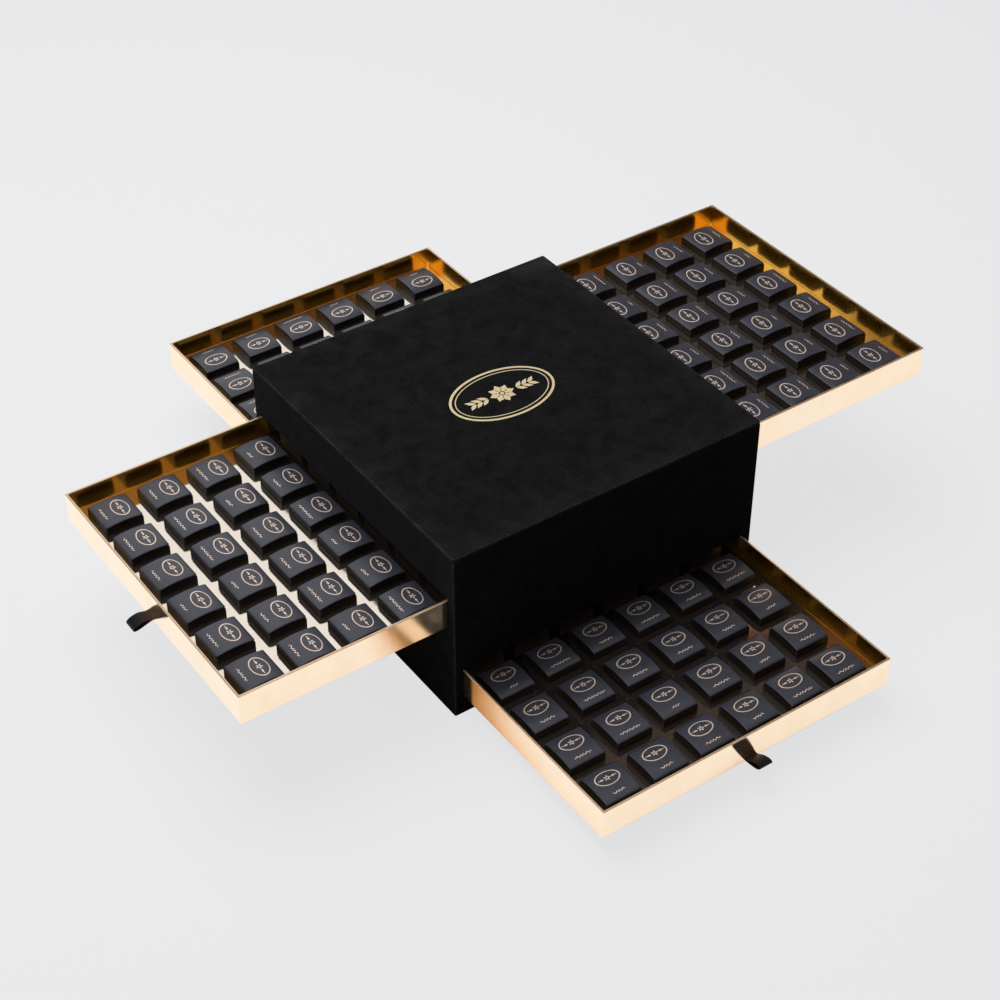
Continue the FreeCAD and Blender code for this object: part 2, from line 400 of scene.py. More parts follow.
def hand_over(piece: Piece, body: str, nodes: Sequence[str]) -> None:
    """Ties a finished piece to its body and the nodes that it stands for.

    Args:
        piece: The finished object.
        body: The body that it moves with.
        nodes: The nodes that it replaces.
    """
    piece.data.name = piece.name
    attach(piece, body)
    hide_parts(*nodes)
    faces = len(piece.data.polygons)
    log.info("%s: %d faces, on %s, stands for %s", piece.name, faces, body, ", ".join(nodes))


# Material bench


class NodeBench:
    """Adds and wires the nodes of one material or node group."""

    def __init__(self, tree: bpy.types.NodeTree) -> None:
        """Keeps the tree that is worked on."""
        self.tree = tree

    def add(self, kind: str, **settings: object) -> Node:
        """Adds a node.

        Args:
            kind: The node's type.
            **settings: Values for the node's own properties.

        Returns:
            The node.
        """
        node = self.tree.nodes.new(kind)
        for name, value in settings.items():
            setattr(node, name, value)
        return node

    def put(self, socket: Socket, value: object) -> None:
        """Sets or wires one input.

        Args:
            socket: The input.
            value: A number, a vector, a colour without its alpha, or a socket to wire from.
        """
        if isinstance(value, bpy.types.NodeSocket):
            self.tree.links.new(value, socket)
        elif socket.type == "RGBA":
            socket.default_value = (*value, 1.0)
        else:
            socket.default_value = value

    def feed(self, node: Node, **inputs: object) -> None:
        """Sets or wires a node's inputs.

        Args:
            node: The node to feed.
            **inputs: The values, named as the node's inputs but with _ for a blank.
        """
        for name, value in inputs.items():
            self.put(node.inputs[name.replace("_", " ")], value)

    def math(self, operation: str, *values: object) -> Socket:
        """Adds a math node.

        Args:
            operation: The node's operation.
            *values: Its operands, numbers or sockets.

        Returns:
            The node's result.
        """
        node = self.add("ShaderNodeMath", operation=operation)
        for socket, value in zip(node.inputs, values):
            self.put(socket, value)
        return node.outputs[0]

    def largest(self, first: Socket, *others: Socket) -> Socket:
        """Gives the largest of several values.

        Args:
            first: A value.
            *others: The values to compare it with.

        Returns:
            The largest one.
        """
        for other in others:
            first = self.math("MAXIMUM", first, other)
        return first

    def times(self, first: object, second: object) -> Socket:
        """Multiplies two values."""
        return self.math("MULTIPLY", first, second)

    def distance(self, value: object, middle: object) -> Socket:
        """Gives how far a value lies from a middle, to either side."""
        return self.math("ABSOLUTE", self.math("SUBTRACT", value, middle))

    def oval(self, x: Socket, y: Socket, length: float, depth: float) -> Socket:
        """Gives the distance from an oval's middle, one on its edge.

        Args:
            x: The place along the oval's length.
            y: The place along its depth.
            length: Half its length.
            depth: Half its depth.

        Returns:
            The distance.
        """
        squares = [self.math("POWER", self.math("DIVIDE", *pair), 2.0) for pair in ((x, length), (y, depth))]
        return self.math("SQRT", self.math("ADD", *squares))

    def axes(self, vector: Socket) -> list[Socket]:
        """Splits a vector into its three parts.

        Args:
            vector: The vector.

        Returns:
            Its parts along X, Y and Z.
        """
        split = self.add("ShaderNodeSeparateXYZ")
        self.feed(split, Vector=vector)
        return list(split.outputs)

    def ramp(self, value: object, low: object, high: object, start: float = 0.0, end: float = 1.0) -> Socket:
        """Maps a value's range onto another and clamps it there.

        Args:
            value: The value.
            low: The lower end of its range.
            high: The upper end of its range.
            start: The result at the lower end.
            end: The result at the upper end.

        Returns:
            The mapped value.
        """
        node = self.add("ShaderNodeMapRange")
        self.feed(node, Value=value, From_Min=low, From_Max=high, To_Min=start, To_Max=end)
        return node.outputs[0]

    def spread(self, value: Socket, start: float = 0.0, end: float = 1.0) -> Socket:
        """Maps an uneven pattern's usual levels onto another range."""
        return self.ramp(value, UNEVEN_LOW_SHARE, UNEVEN_HIGH_SHARE, start, end)

    def mix(self, kind: Mix, mask: object, first: object, second: object) -> Socket:
        """Mixes two values by a mask.

        Args:
            kind: What is mixed.
            mask: Zero for the first value and one for the second.
            first: A value or a socket.
            second: A value or a socket.

        Returns:
            The mixed value.
        """
        data_type, start, result = kind.value
        node = self.add("ShaderNodeMix", data_type=data_type)
        for index, value in ((0, mask), (start, first), (start + 1, second)):
            self.put(node.inputs[index], value)
        return node.outputs[result]

    def blend(self, mask: object, first: object, second: object) -> Socket:
        """Mixes two colours by a mask, zero for the first and one for the second."""
        return self.mix(Mix.COLOUR, mask, first, second)

    def choose(self, mask: object, first: object, second: object) -> Socket:
        """Mixes two numbers by a mask, zero for the first and one for the second."""
        return self.mix(Mix.NUMBER, mask, first, second)

    def noise(self, place: Socket, scale: object, detail: float, swirl: float = 0.0) -> Socket:
        """Adds a noise texture.

        Args:
            place: The pattern's coordinates in metres.
            scale: How many features there are in a metre.
            detail: How many finer layers it has.
            swirl: How much it is distorted.

        Returns:
            The noise, about one half on average.
        """
        node = self.add("ShaderNodeTexNoise")
        self.feed(node, Vector=place, Scale=scale, Detail=detail, Distortion=swirl)
        return node.outputs["Fac"]

    def bump(self, height: Socket, distance: float, strength: float = 1.0) -> Socket:
        """Turns a height into a normal.

        Args:
            height: The height's socket.
            distance: The height's full rise in metres.
            strength: The share of the effect that is used.

        Returns:
            The bumped normal.
        """
        node = self.add("ShaderNodeBump")
        self.feed(node, Height=height, Distance=distance, Strength=strength)
        return node.outputs[0]

    def attribute(self, name: str) -> Socket:
        """Gives a number that the mesh stores at each of its points."""
        return self.add("ShaderNodeAttribute", attribute_name=name).outputs["Fac"]


def new_material(name: str) -> tuple[Material, NodeBench, Node]:
    """Starts a material.

    Args:
        name: The material's name.

    Returns:
        The material, the bench for its nodes and its Principled shader.
    """
    material = bpy.data.materials.new(name)
    material.use_nodes = True
    bench = NodeBench(material.node_tree)
    return material, bench, material.node_tree.nodes["Principled BSDF"]


def object_place(bench: NodeBench) -> Socket:
    """Gives the place on the object, in metres."""
    return bench.add("ShaderNodeTexCoord").outputs["Object"]


def uneven_group() -> bpy.types.NodeTree:
    """Builds the group that the finishes use for unevenness: broad patches with fine grain on them.

    Returns:
        The node group, with the inputs Place, Patch Scale, Grain Scale and Grain Share and the output Value.
    """
    group = bpy.data.node_groups.new("uneven", "ShaderNodeTree")
    group.interface.new_socket("Place", in_out="INPUT", socket_type="NodeSocketVector")
    for name in ("Patch Scale", "Grain Scale", "Grain Share"):
        group.interface.new_socket(name, in_out="INPUT", socket_type="NodeSocketFloat")
    group.interface.new_socket("Value", in_out="OUTPUT", socket_type="NodeSocketFloat")
    bench = NodeBench(group)
    given = bench.add("NodeGroupInput").outputs
    patches = bench.noise(given["Place"], given["Patch Scale"], PATCH_DETAIL, PATCH_SWIRL)
    grain = bench.noise(given["Place"], given["Grain Scale"], GRAIN_DETAIL)
    bench.feed(bench.add("NodeGroupOutput"), Value=bench.choose(given["Grain Share"], patches, grain))
    return group


def uneven(bench: NodeBench, place: Socket, patch: float, grain: float, share: float) -> Socket:
    """Places the unevenness group in a material.

    Args:
        bench: The material's bench.
        place: The pattern's coordinates in metres.
        patch: The size of a patch in metres.
        grain: The size of a grain in metres.
        share: How much of the value is grain.

    Returns:
        The value, about one half on average.
    """
    group = bpy.data.node_groups.get("uneven") or uneven_group()
    node = bench.add("ShaderNodeGroup", node_tree=group)
    bench.feed(node, Place=place, Patch_Scale=1 / patch, Grain_Scale=1 / grain, Grain_Share=share)
    return node.outputs["Value"]


@dataclass(frozen=True)
class VelvetFinish:
    """Black velvet with a brushed, mottled nap, lighter along the box's edges from wear and a painted
    highlight, with painted light on the lid's border, its back right corner and the top board's sides.

    The half width and the levels are the box's own: its walls, its top and the lower edge of the top board.
    """

    half_width: float
    top: float
    cover: float
    name: str = "black_velvet"
    deep: Colour = (0.0040, 0.0040, 0.0041)
    lit: Colour = (0.0185, 0.0185, 0.0189)
    # The lighter nap: worn on the edges with a painted highlight, and painted light on the lid's border, back
    # right corner and the top board's sides
    worn: Colour = (0.085, 0.085, 0.085)
    rub_low_share: float = 0.25
    rub_high_share: float = 0.6
    cover_share: float = 0.10
    border_share: float = 0.09
    border_width: float = 22 * MM
    corner_share: float = 0.30
    corner_width: float = 70 * MM
    wear_width: float = 1.8 * MM
    patch: float = 16 * MM
    grain: float = 1.4 * MM
    grain_share: float = 0.55
    nap: float = 0.55 * MM
    nap_height: float = 0.25 * MM
    nap_strength: float = 0.35
    roughness: float = 1.0
    gloss: float = 0.0
    sheen: float = 0.06
    sheen_roughness: float = 0.45

    def wear(self, bench: NodeBench, place: Socket) -> Socket:
        """Finds where the velvet is painted lighter: the box's edges, where wear and a painted highlight
        lighten the nap, and painted light on the lid's border, its back right corner and the top board's
        sides.

        Args:
            bench: The material's bench.
            place: The place on the object in metres.

        Returns:
            A mask, one on the edges and a little above zero where light is painted on the border, the back
            right corner and the sides of the top board.
        """
        x, y, z = bench.axes(place)
        outward = [bench.math("ABSOLUTE", part) for part in (x, y)]
        inner = self.half_width - self.wear_width
        near_x, near_y = (bench.ramp(part, inner, self.half_width) for part in outward)
        near_top = bench.ramp(z, self.top - self.wear_width, self.top)
        on_side = bench.largest(near_x, near_y)
        # The edges are lighter from wear and from a painted highlight where the nap catches the light
        edge = bench.largest(bench.times(near_x, near_y), bench.times(near_top, on_side))
        # Painted light: the sides of the top board are lighter than the walls below them
        on_cover = bench.math("GREATER_THAN", z, self.cover)
        strip = bench.times(bench.times(on_cover, on_side), self.cover_share)
        # Painted light on the lid: lighter towards its border and towards its back right corner
        border_start = self.half_width - self.border_width
        border = bench.ramp(bench.largest(*outward), border_start, self.half_width, 0.0, self.border_share)
        tip = 2 * self.half_width
        across = bench.math("ADD", x, y)
        corner = bench.ramp(across, tip - self.corner_width, tip, 0.0, self.corner_share)
        return bench.largest(edge, strip, bench.times(near_top, bench.largest(border, corner)))

    def make(self) -> Material:
        """Builds the material.

        Returns:
            The material.
        """
        material, bench, shader = new_material(self.name)
        place = object_place(bench)
        value = uneven(bench, place, self.patch, self.grain, self.grain_share)
        cloth = bench.blend(bench.spread(value), self.deep, self.lit)
        # Wear and painted light lighten the nap in patches
        patches = bench.ramp(value, self.rub_low_share, self.rub_high_share)
        wear_and_light_mask = bench.times(self.wear(bench, place), patches)
        nap = bench.noise(place, 1 / self.nap, GRAIN_DETAIL)
        bench.feed(
            shader,
            Base_Color=bench.blend(wear_and_light_mask, cloth, self.worn),
            Roughness=self.roughness,
            Specular_IOR_Level=self.gloss,
            Sheen_Weight=self.sheen,
            Sheen_Roughness=self.sheen_roughness,
            Normal=bench.bump(nap, self.nap_height, self.nap_strength),
        )
        return material


@dataclass(frozen=True)
class MirrorGoldFinish:
    """Mirror-gold laminated paper, pale where it shows the room and slightly rippled."""

    name: str = "mirror_gold"
    colour: Colour = (0.985, 0.82, 0.62)
    shade: Colour = (0.97, 0.77, 0.54)
    shade_low_share: float = 0.35
    shade_high_share: float = 0.75
    metal: float = 0.95
    roughness: float = 0.10
    roughness_spread: float = 0.08
    ripple: float = 30 * MM
    ripple_height: float = 0.14 * MM
    cloud: float = 7 * MM
    cloud_share: float = 0.25

    def make(self) -> Material:
        """Builds the material.

        Returns:
            The material.
        """
        material, bench, shader = new_material(self.name)
        place = object_place(bench)
        value = uneven(bench, place, self.ripple, self.cloud, self.cloud_share)
        shaded = bench.ramp(value, self.shade_low_share, self.shade_high_share)
        ripple = bench.noise(place, 1 / self.ripple, PLAIN_DETAIL)
        bench.feed(
            shader,
            Base_Color=bench.blend(shaded, self.colour, self.shade),
            Metallic=self.metal,
            Roughness=bench.spread(value, self.roughness, self.roughness + self.roughness_spread),
            Normal=bench.bump(ripple, self.ripple_height),
        )
        return material


# The gold of each kind of face, in the order of the kinds
BOARD_GOLDS = {
    BoardFace.OUTSIDE: MirrorGoldFinish(),
    BoardFace.INSIDE: MirrorGoldFinish(
        name="mirror_gold_lining",
        colour=(0.98, 0.57, 0.085),
        shade=(0.95, 0.49, 0.06),
        metal=0.98,
        roughness=0.13,
    ),
    BoardFace.RIM: MirrorGoldFinish(
        name="mirror_gold_rim",
        colour=(0.95, 0.72, 0.48),
        shade=(0.92, 0.66, 0.42),
        metal=0.9,
        roughness=0.36,
    ),
}
CARD_GOLD = MirrorGoldFinish(
    name="mirror_gold_card",
    colour=(0.985, 0.90, 0.78),
    shade=(0.975, 0.86, 0.72),
    metal=0.98,
    roughness=0.05,
)


@dataclass(frozen=True)
class WrapperFinish:
    """Black satin paper with a small gold ornament printed on its top, and painted shade that makes its sides
    darker than its top.

    The ornament is drawn on the UV map, where the wrapper's top runs from 0 to 1 each way and the second
    axis points towards the box. All its sizes are shares of the wrapper's side.
    """

    name: str = "black_wrapper"
    paper: Colour = (0.058, 0.062, 0.082)
    paper_dark: Colour = (0.040, 0.042, 0.055)
    # Painted shade: the same paper, darker on the sides, which get less light than the top
    side: Colour = (0.0095, 0.0057, 0.0041)
    side_level_share: float = 0.25
    top_level_share: float = 0.9
    patch: float = 9 * MM
    grain: float = 0.6 * MM
    grain_share: float = 0.35
    crease: float = 7 * MM
    crease_height: float = 0.12 * MM
    crease_strength: float = 0.5
    gold: Colour = (0.95, 0.735, 0.585)
    print_metal: float = 0.2
    gloss: float = 0.15
    roughness: float = 0.36
    roughness_spread: float = 0.14
    satin: float = 0.9
    satin_roughness: float = 0.36
    ring_middle_share: float = 0.635
    ring_length_share: float = 0.31
    ring_depth_share: float = 0.205
    line_share: float = 0.0115
    rosette_share: float = 0.085
    rosette_notch_share: float = 0.35
    rosette_eye_share: float = 0.25
    leaf_offset_share: float = 0.155
    leaf_length_share: float = 0.052
    leaf_depth_share: float = 0.024
    bud_offset_share: float = 0.235
    bud_share: float = 0.016
    scroll_middle_share: float = 0.19
    scroll_wave_share: float = 0.020
    scroll_line_share: float = 0.0125
    scroll_short_share: float = 0.12
    scroll_long_share: float = 0.34
    scroll_fade_share: float = 0.75
    scroll_sway_share: float = 0.37
    petals: float = 5.0
    scroll_waves: float = 11.0

    def emblem(self, bench: NodeBench, across: Socket, along: Socket) -> Socket:
        """Draws an oval ring round a rosette with a leaf and a bud at each side.

        Args:
            bench: The material's bench.
            across: The place across the wrapper from the emblem's middle.
            along: The place along it from the emblem's middle.

        Returns:
            A mask that is one on the gold.
        """
        rim = bench.oval(across, along, self.ring_length_share, self.ring_depth_share)
        ring = bench.math("LESS_THAN", bench.distance(rim, 1.0), self.line_share / self.ring_depth_share)
        angle = bench.math("ARCTAN2", along, across)
        wave = bench.math("COSINE", bench.times(angle, self.petals))
        notch = self.rosette_notch_share * self.rosette_share
        radius = bench.oval(across, along, 1.0, 1.0)
        petal = bench.math("LESS_THAN", radius, bench.ramp(wave, -1.0, 1.0, notch, self.rosette_share))
        eye = bench.math("GREATER_THAN", radius, self.rosette_eye_share * self.rosette_share)
        shapes = [ring, bench.times(petal, eye)]
        aside = bench.math("ABSOLUTE", across)
        for offset, length, depth in (
            (self.leaf_offset_share, self.leaf_length_share, self.leaf_depth_share),
            (self.bud_offset_share, self.bud_share, self.bud_share),
        ):
            reach = bench.oval(bench.math("SUBTRACT", aside, offset), along, length, depth)
            shapes.append(bench.math("LESS_THAN", reach, 1.0))
        return bench.largest(*shapes)

    def scroll(self, bench: NodeBench, across: Socket, along: Socket) -> Socket:
        """Draws a wavy line whose length differs from wrapper to wrapper.

        Args:
            bench: The material's bench.
            across: The place across the wrapper from its middle.
            along: The place along the wrapper.

        Returns:
            A mask that is one on the gold.
        """
        variant = bench.attribute("variant")
        half = bench.ramp(variant, 0.0, 1.0, self.scroll_short_share, self.scroll_long_share)
        out = bench.math("DIVIDE", bench.math("ABSOLUTE", across), half)
        within = bench.ramp(out, self.scroll_fade_share, 1.0, 1.0, 0.0)
        turn = bench.times(across, self.scroll_waves * math.tau)
        sway = bench.math("SINE", bench.math("ADD", bench.times(turn, self.scroll_sway_share), variant))
        curl = bench.math("SINE", bench.math("ADD", turn, sway))
        swing = bench.times(bench.times(curl, within), self.scroll_wave_share)
        below = bench.math("SUBTRACT", along, self.scroll_middle_share)
        line = bench.times(within, self.scroll_line_share)
        return bench.math("LESS_THAN", bench.distance(below, swing), line)

    def ornament(self, bench: NodeBench) -> Socket:
        """Draws the whole print.

        Args:
            bench: The material's bench.

        Returns:
            A mask that is one on the gold.
        """
        u, v, _ = bench.axes(bench.add("ShaderNodeUVMap", uv_map="wrapper").outputs[0])
        across = bench.math("SUBTRACT", u, MIDDLE_SHARE)
        along = bench.math("SUBTRACT", v, self.ring_middle_share)
        return bench.largest(self.emblem(bench, across, along), self.scroll(bench, across, v))

    def make(self) -> Material:
        """Builds the material.

        Returns:
            The material.
        """
        material, bench, shader = new_material(self.name)
        place = object_place(bench)
        value = uneven(bench, place, self.patch, self.grain, self.grain_share)
        top = bench.blend(bench.spread(value), self.paper_dark, self.paper)
        # Painted shade by the way each face points: the sides take the darker side colour, the top the paper;
        # the satin coat is kept to the top as well
        facing = bench.axes(bench.add("ShaderNodeNewGeometry").outputs["Normal"])
        upward = bench.ramp(facing[2], self.side_level_share, self.top_level_share)
        paper = bench.blend(upward, self.side, top)
        mask = self.ornament(bench)
        crease = bench.noise(place, 1 / self.crease, GRAIN_DETAIL)
        bench.feed(
            shader,
            Base_Color=bench.blend(mask, paper, self.gold),
            Metallic=bench.times(mask, self.print_metal),
            Roughness=bench.spread(value, self.roughness, self.roughness + self.roughness_spread),
            Specular_IOR_Level=self.gloss,
            Coat_Weight=bench.times(upward, self.satin),
            Coat_Roughness=self.satin_roughness,
            Normal=bench.bump(crease, self.crease_height, self.crease_strength),
        )
        return material


@dataclass(frozen=True)
class RibbonFinish:
    """Black satin ribbon with fine ribs across it, with a painted brown reflection of the gold face near its
    root.
    """

    name: str = "satin_ribbon"
    colour: Colour = (0.0025, 0.0025, 0.0028)
    lit: Colour = (0.006, 0.006, 0.0065)
    # Painted reflection: the brown of the gold face, painted on the ribbon near its root
    glow: Colour = (0.095, 0.060, 0.036)
    patch: float = 5 * MM
    rib: float = 0.35 * MM
    rib_share: float = 0.5
    rib_height: float = 0.04 * MM
    rib_strength: float = 0.5
    roughness: float = 0.40
    roughness_spread: float = 0.15
    gloss: float = 0.3

    def make(self) -> Material:
        """Builds the material.

        Returns:
            The material.
        """
        material, bench, shader = new_material(self.name)
        place = object_place(bench)
        weave = bench.noise(place, 1 / self.rib, PLAIN_DETAIL)
        value = uneven(bench, place, self.patch, self.rib, self.rib_share)
        satin = bench.blend(value, self.colour, self.lit)
        bench.feed(
            shader,
            Base_Color=bench.blend(bench.attribute("root"), satin, self.glow),
            Roughness=bench.spread(value, self.roughness, self.roughness + self.roughness_spread),
            Specular_IOR_Level=self.gloss,
            Normal=bench.bump(weave, self.rib_height, self.rib_strength),
        )
        return material


@dataclass(frozen=True)
class FoilFinish:
    """Hot-stamped gold foil, a little broken up by the nap under it."""

    name: str = "stamped_foil"
    colour: Colour = (0.98, 0.82, 0.50)
    worn: Colour = (0.84, 0.66, 0.37)
    worn_low_share: float = 0.45
    worn_high_share: float = 0.75
    metal: float = 0.2
    patch: float = 8 * MM
    grain: float = 0.7 * MM
    grain_share: float = 0.5
    grain_height: float = 0.08 * MM
    grain_strength: float = 0.4
    roughness: float = 0.28
    roughness_spread: float = 0.22

    def make(self) -> Material:
        """Builds the material.

        Returns:
            The material.
        """
        material, bench, shader = new_material(self.name)
        value = uneven(bench, object_place(bench), self.patch, self.grain, self.grain_share)
        broken = bench.ramp(value, self.worn_low_share, self.worn_high_share)
        bench.feed(
            shader,
            Base_Color=bench.blend(broken, self.colour, self.worn),
            Metallic=self.metal,
            Roughness=bench.spread(value, self.roughness, self.roughness + self.roughness_spread),
            Normal=bench.bump(value, self.grain_height, self.grain_strength),
        )
        return material


@dataclass(frozen=True)
class BoardFinish:
    """Black-lined grey board, as the inside of the case."""

    name: str = "black_board"
    deep: Colour = (0.006, 0.006, 0.006)
    lit: Colour = (0.016, 0.0155, 0.015)
    patch: float = 14 * MM
    fibre: float = 0.9 * MM
    fibre_share: float = 0.5
    fibre_height: float = 0.05 * MM
    fibre_strength: float = 0.5
    roughness: float = 0.65
    roughness_spread: float = 0.20
    gloss: float = 0.2

    def make(self) -> Material:
        """Builds the material.

        Returns:
            The material.
        """
        material, bench, shader = new_material(self.name)
        value = uneven(bench, object_place(bench), self.patch, self.fibre, self.fibre_share)
        bench.feed(
            shader,
            Base_Color=bench.blend(value, self.deep, self.lit),
            Roughness=bench.spread(value, self.roughness, self.roughness + self.roughness_spread),
            Specular_IOR_Level=self.gloss,
            Normal=bench.bump(value, self.fibre_height, self.fibre_strength),
        )
        return material


# Sub-assemblies


@dataclass
class VelvetCase:
    """The fixed case: velvet round its four walls, a separately wrapped top and black boards inside."""

    cloth: float = 0.8 * MM
    corner: float = 1.5 * MM
    top_edge: float = 2.2 * MM
    lip: float = 0.25 * MM
    guide: float = 3 * MM
    corner_segments: int = 4
    lip_segments: int = 2
    shade_degrees: float = 35.0

    def build(self, velvet: Material) -> None:
        """Builds and dresses the cloth of the walls and the top.

        Args:
            velvet: The cloth's material.
        """
        for piece, node in ((self.wrap_walls(), "wall_velvet"), (self.wrap_top(), "top_velvet")):
            thicken(piece, self.cloth, Grow.INWARD)
            soften_edges(piece, self.lip, self.lip_segments)
            smooth(piece, self.shade_degrees)
            dress(piece, velvet)
            hand_over(piece, "case", [node])

    def line_boards(self, board: Material, frame: dict) -> None:
        """Dresses the case's boards that the frame gives and no piece stands for.

        Args:
            board: The boards' material.
        """
        for name, node in frame["nodes"].items():
            if node["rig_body"] == "case" and not node.hide_render:
                dress(node, board)
                log.info("%s: kept from the frame, lined black", name)

    def wrap_walls(self) -> Piece:
        """Makes the cloth round the walls, with a slot for each tray.

        Returns:
            The walls' cloth, without its thickness.
        """
        low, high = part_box("wall_velvet")
        walls = add_block("case_wall_velvet", high - low, (low + high) / 2)
        with editing(walls):
            drop_faces(walls, lambda place, normal: abs(normal.z) > MOSTLY_SHARE)
            pick_edges(walls, lambda place, way: abs(way.z) > MOSTLY_SHARE)
            round_edges(self.corner, self.corner_segments)
            for side in Side:
                self.cut_slot(walls, side, high.x)
        return walls

    def cut_slot(self, walls: Piece, side: Side, reach: float) -> None:
        """Cuts one tray's slot through the cloth, which is open in edit mode.

        Args:
            walls: The walls' cloth.
            side: The side whose slot is cut.
            reach: How far the wall stands from the middle.
        """
        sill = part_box(f"{side.word}_shelf")[1].z
        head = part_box(f"{side.word}_guides")[1].z
        tray_low, tray_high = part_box(f"{side.tray}_rear")
        half = max(tray_high.x - tray_low.x, tray_high.y - tray_low.y) / 2 + self.slot_play()
        out = side.turn() @ Vector((0, -1, 0))
        across = side.turn() @ Vector((1, 0, 0))

        def on_wall(place: Vector, normal: Vector) -> bool:
            """Tells whether a face lies in this wall."""
            return normal.dot(out) > WHOLLY_SHARE

        def in_band(place: Vector, normal: Vector) -> bool:
            """Tells whether a face lies in this wall at the slot's height."""
            return on_wall(place, normal) and sill < place.z < head

        for level in (sill, head):
            pick_faces(walls, on_wall)
            slice_selected((0, 0, level), (0, 0, 1))
        for shift in (-half, half):
            pick_faces(walls, in_band)
            slice_selected(across * shift + out * reach, across)
        drop_faces(walls, lambda place, normal: in_band(place, normal) and abs(place.dot(across)) < half)

    def slot_play(self) -> float:
        """Finds the play at each side of a tray in its slot, as the guides leave it.

        Returns:
            The play in metres.
        """
        low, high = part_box("front_shelf")
        tray_low, tray_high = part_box("front_tray_rear")
        return (high.x - low.x) / 2 - self.guide - (tray_high.x - tray_low.x) / 2

    def wrap_top(self) -> Piece:
        """Makes the cloth over the top board, turned down over its edges.

        Returns:
            The top's cloth, without its thickness.
        """
        low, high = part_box("top_velvet")
        top = add_block("case_top_velvet", high - low, (low + high) / 2)
        with editing(top):
            drop_faces(top, lambda place, normal: normal.z < -MOSTLY_SHARE)
            pick_edges(top, lambda place, way: place.z > low.z + self.cloth)
            round_edges(self.top_edge, self.corner_segments)
        return top


@dataclass
class LidOrnament:
    """The gold ornament stamped on the lid: two oval rings round a rosette with a leaf spray at each side."""

    band: float = 2.2 * MM
    space: float = 2.6 * MM
    line: float = 0.9 * MM
    petal_length: float = 11.5 * MM
    petal_width: float = 5.6 * MM
    petal_start: float = 2.6 * MM
    eye: float = 1.9 * MM
    leaf_length: float = 9.0 * MM
    leaf_width: float = 3.6 * MM
    leaf_pitch: float = 6.0 * MM
    leaf_first: float = 14.5 * MM
    leaf_lean: float = 38.0
    taper_start_share: float = 0.2
    taper_share: float = 0.55
    petals: int = 8
    leaves: int = 3
    ring_points: int = 96
    leaf_points: int = 20

    def oval(self, name: str, length: float, depth: float, points: int) -> Piece:
        """Makes a flat filled oval at the origin.

        Args:
            name: The object's name.
            length: Its length along X.
            depth: Its depth along Y.
            points: How many points its edge has.

        Returns:
            The oval.
        """
        clear_selection()
        bpy.ops.mesh.primitive_circle_add(vertices=points, radius=UNIT_RADIUS, fill_type="NGON")
        oval = bpy.context.object
        oval.name = name
        with editing(oval):
            pick_all()
            bpy.ops.transform.resize(value=(length, depth, 1))
        return oval

    def ring(self, name: str, length: float, depth: float, band: float) -> Piece:
        """Makes a flat oval ring at the origin.

        Args:
            name: The object's name.
            length: Its length along X.
            depth: Its depth along Y.
            band: The width of its band.

        Returns:
            The ring.
        """
        ring = self.oval(name, length, depth, self.ring_points)
        with editing(ring):
            pick_all()
            bpy.ops.mesh.inset(thickness=band)
            bpy.ops.mesh.delete(type="FACE")
        return ring

    def leaf(self, name: str, length: float, width: float) -> Piece:
        """Makes a leaf that starts at the origin and points along X, drawn in to a tip.

        Args:
            name: The object's name.
            length: Its length.
            width: Its width before it is drawn in.

        Returns:
            The leaf.
        """
        leaf = self.oval(name, length, width, self.leaf_points)
        with editing(leaf):
            pick_points(leaf, lambda place: place.x > length * self.taper_start_share)
            bpy.ops.transform.resize(value=(1, self.taper_share, 1), center_override=(0, 0, 0))
            pick_all()
            push((length / 2, 0, 0))
        return leaf

    def build(self, foil: Material) -> None:
        """Builds and dresses the ornament.

        Args:
            foil: The foil's material.
        """
        low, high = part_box("top_foil")
        size = high - low
        step = 2 * (self.band + self.space)
        parts = [
            self.ring("outer_ring", size.x, size.y, self.band),
            self.ring("inner_ring", size.x - step, size.y - step, self.line),
            self.oval("eye", 2 * self.eye, 2 * self.eye, self.leaf_points),
        ]
        petal = self.leaf("petal", self.petal_length - self.petal_start, self.petal_width)
        outward = Matrix.Translation((self.petal_start, 0, 0))
        for number in range(self.petals):
            turn = Matrix.Rotation(math.tau * number / self.petals, 4, "Z")
            parts.append(copy_of(petal, turn @ outward))
        leaf = self.leaf("leaf", self.leaf_length, self.leaf_width)
        for number in range(self.leaves):
            start = Matrix.Translation((self.leaf_first + number * self.leaf_pitch, 0, 0))
            for lean in (-self.leaf_lean, self.leaf_lean):
                spray = start @ Matrix.Rotation(math.radians(lean), 4, "Z")
                for half_turn in (0, math.pi):
                    parts.append(copy_of(leaf, Matrix.Rotation(half_turn, 4, "Z") @ spray))
        for pattern in (petal, leaf):
            bpy.data.objects.remove(pattern)
        ornament = join(parts, "lid_ornament")
        ornament.data.transform(Matrix.Translation((0, 0, low.z)))
        thicken(ornament, size.z, Grow.OUTWARD)
        dress(ornament, foil)
        hand_over(ornament, "case", ["top_foil"])


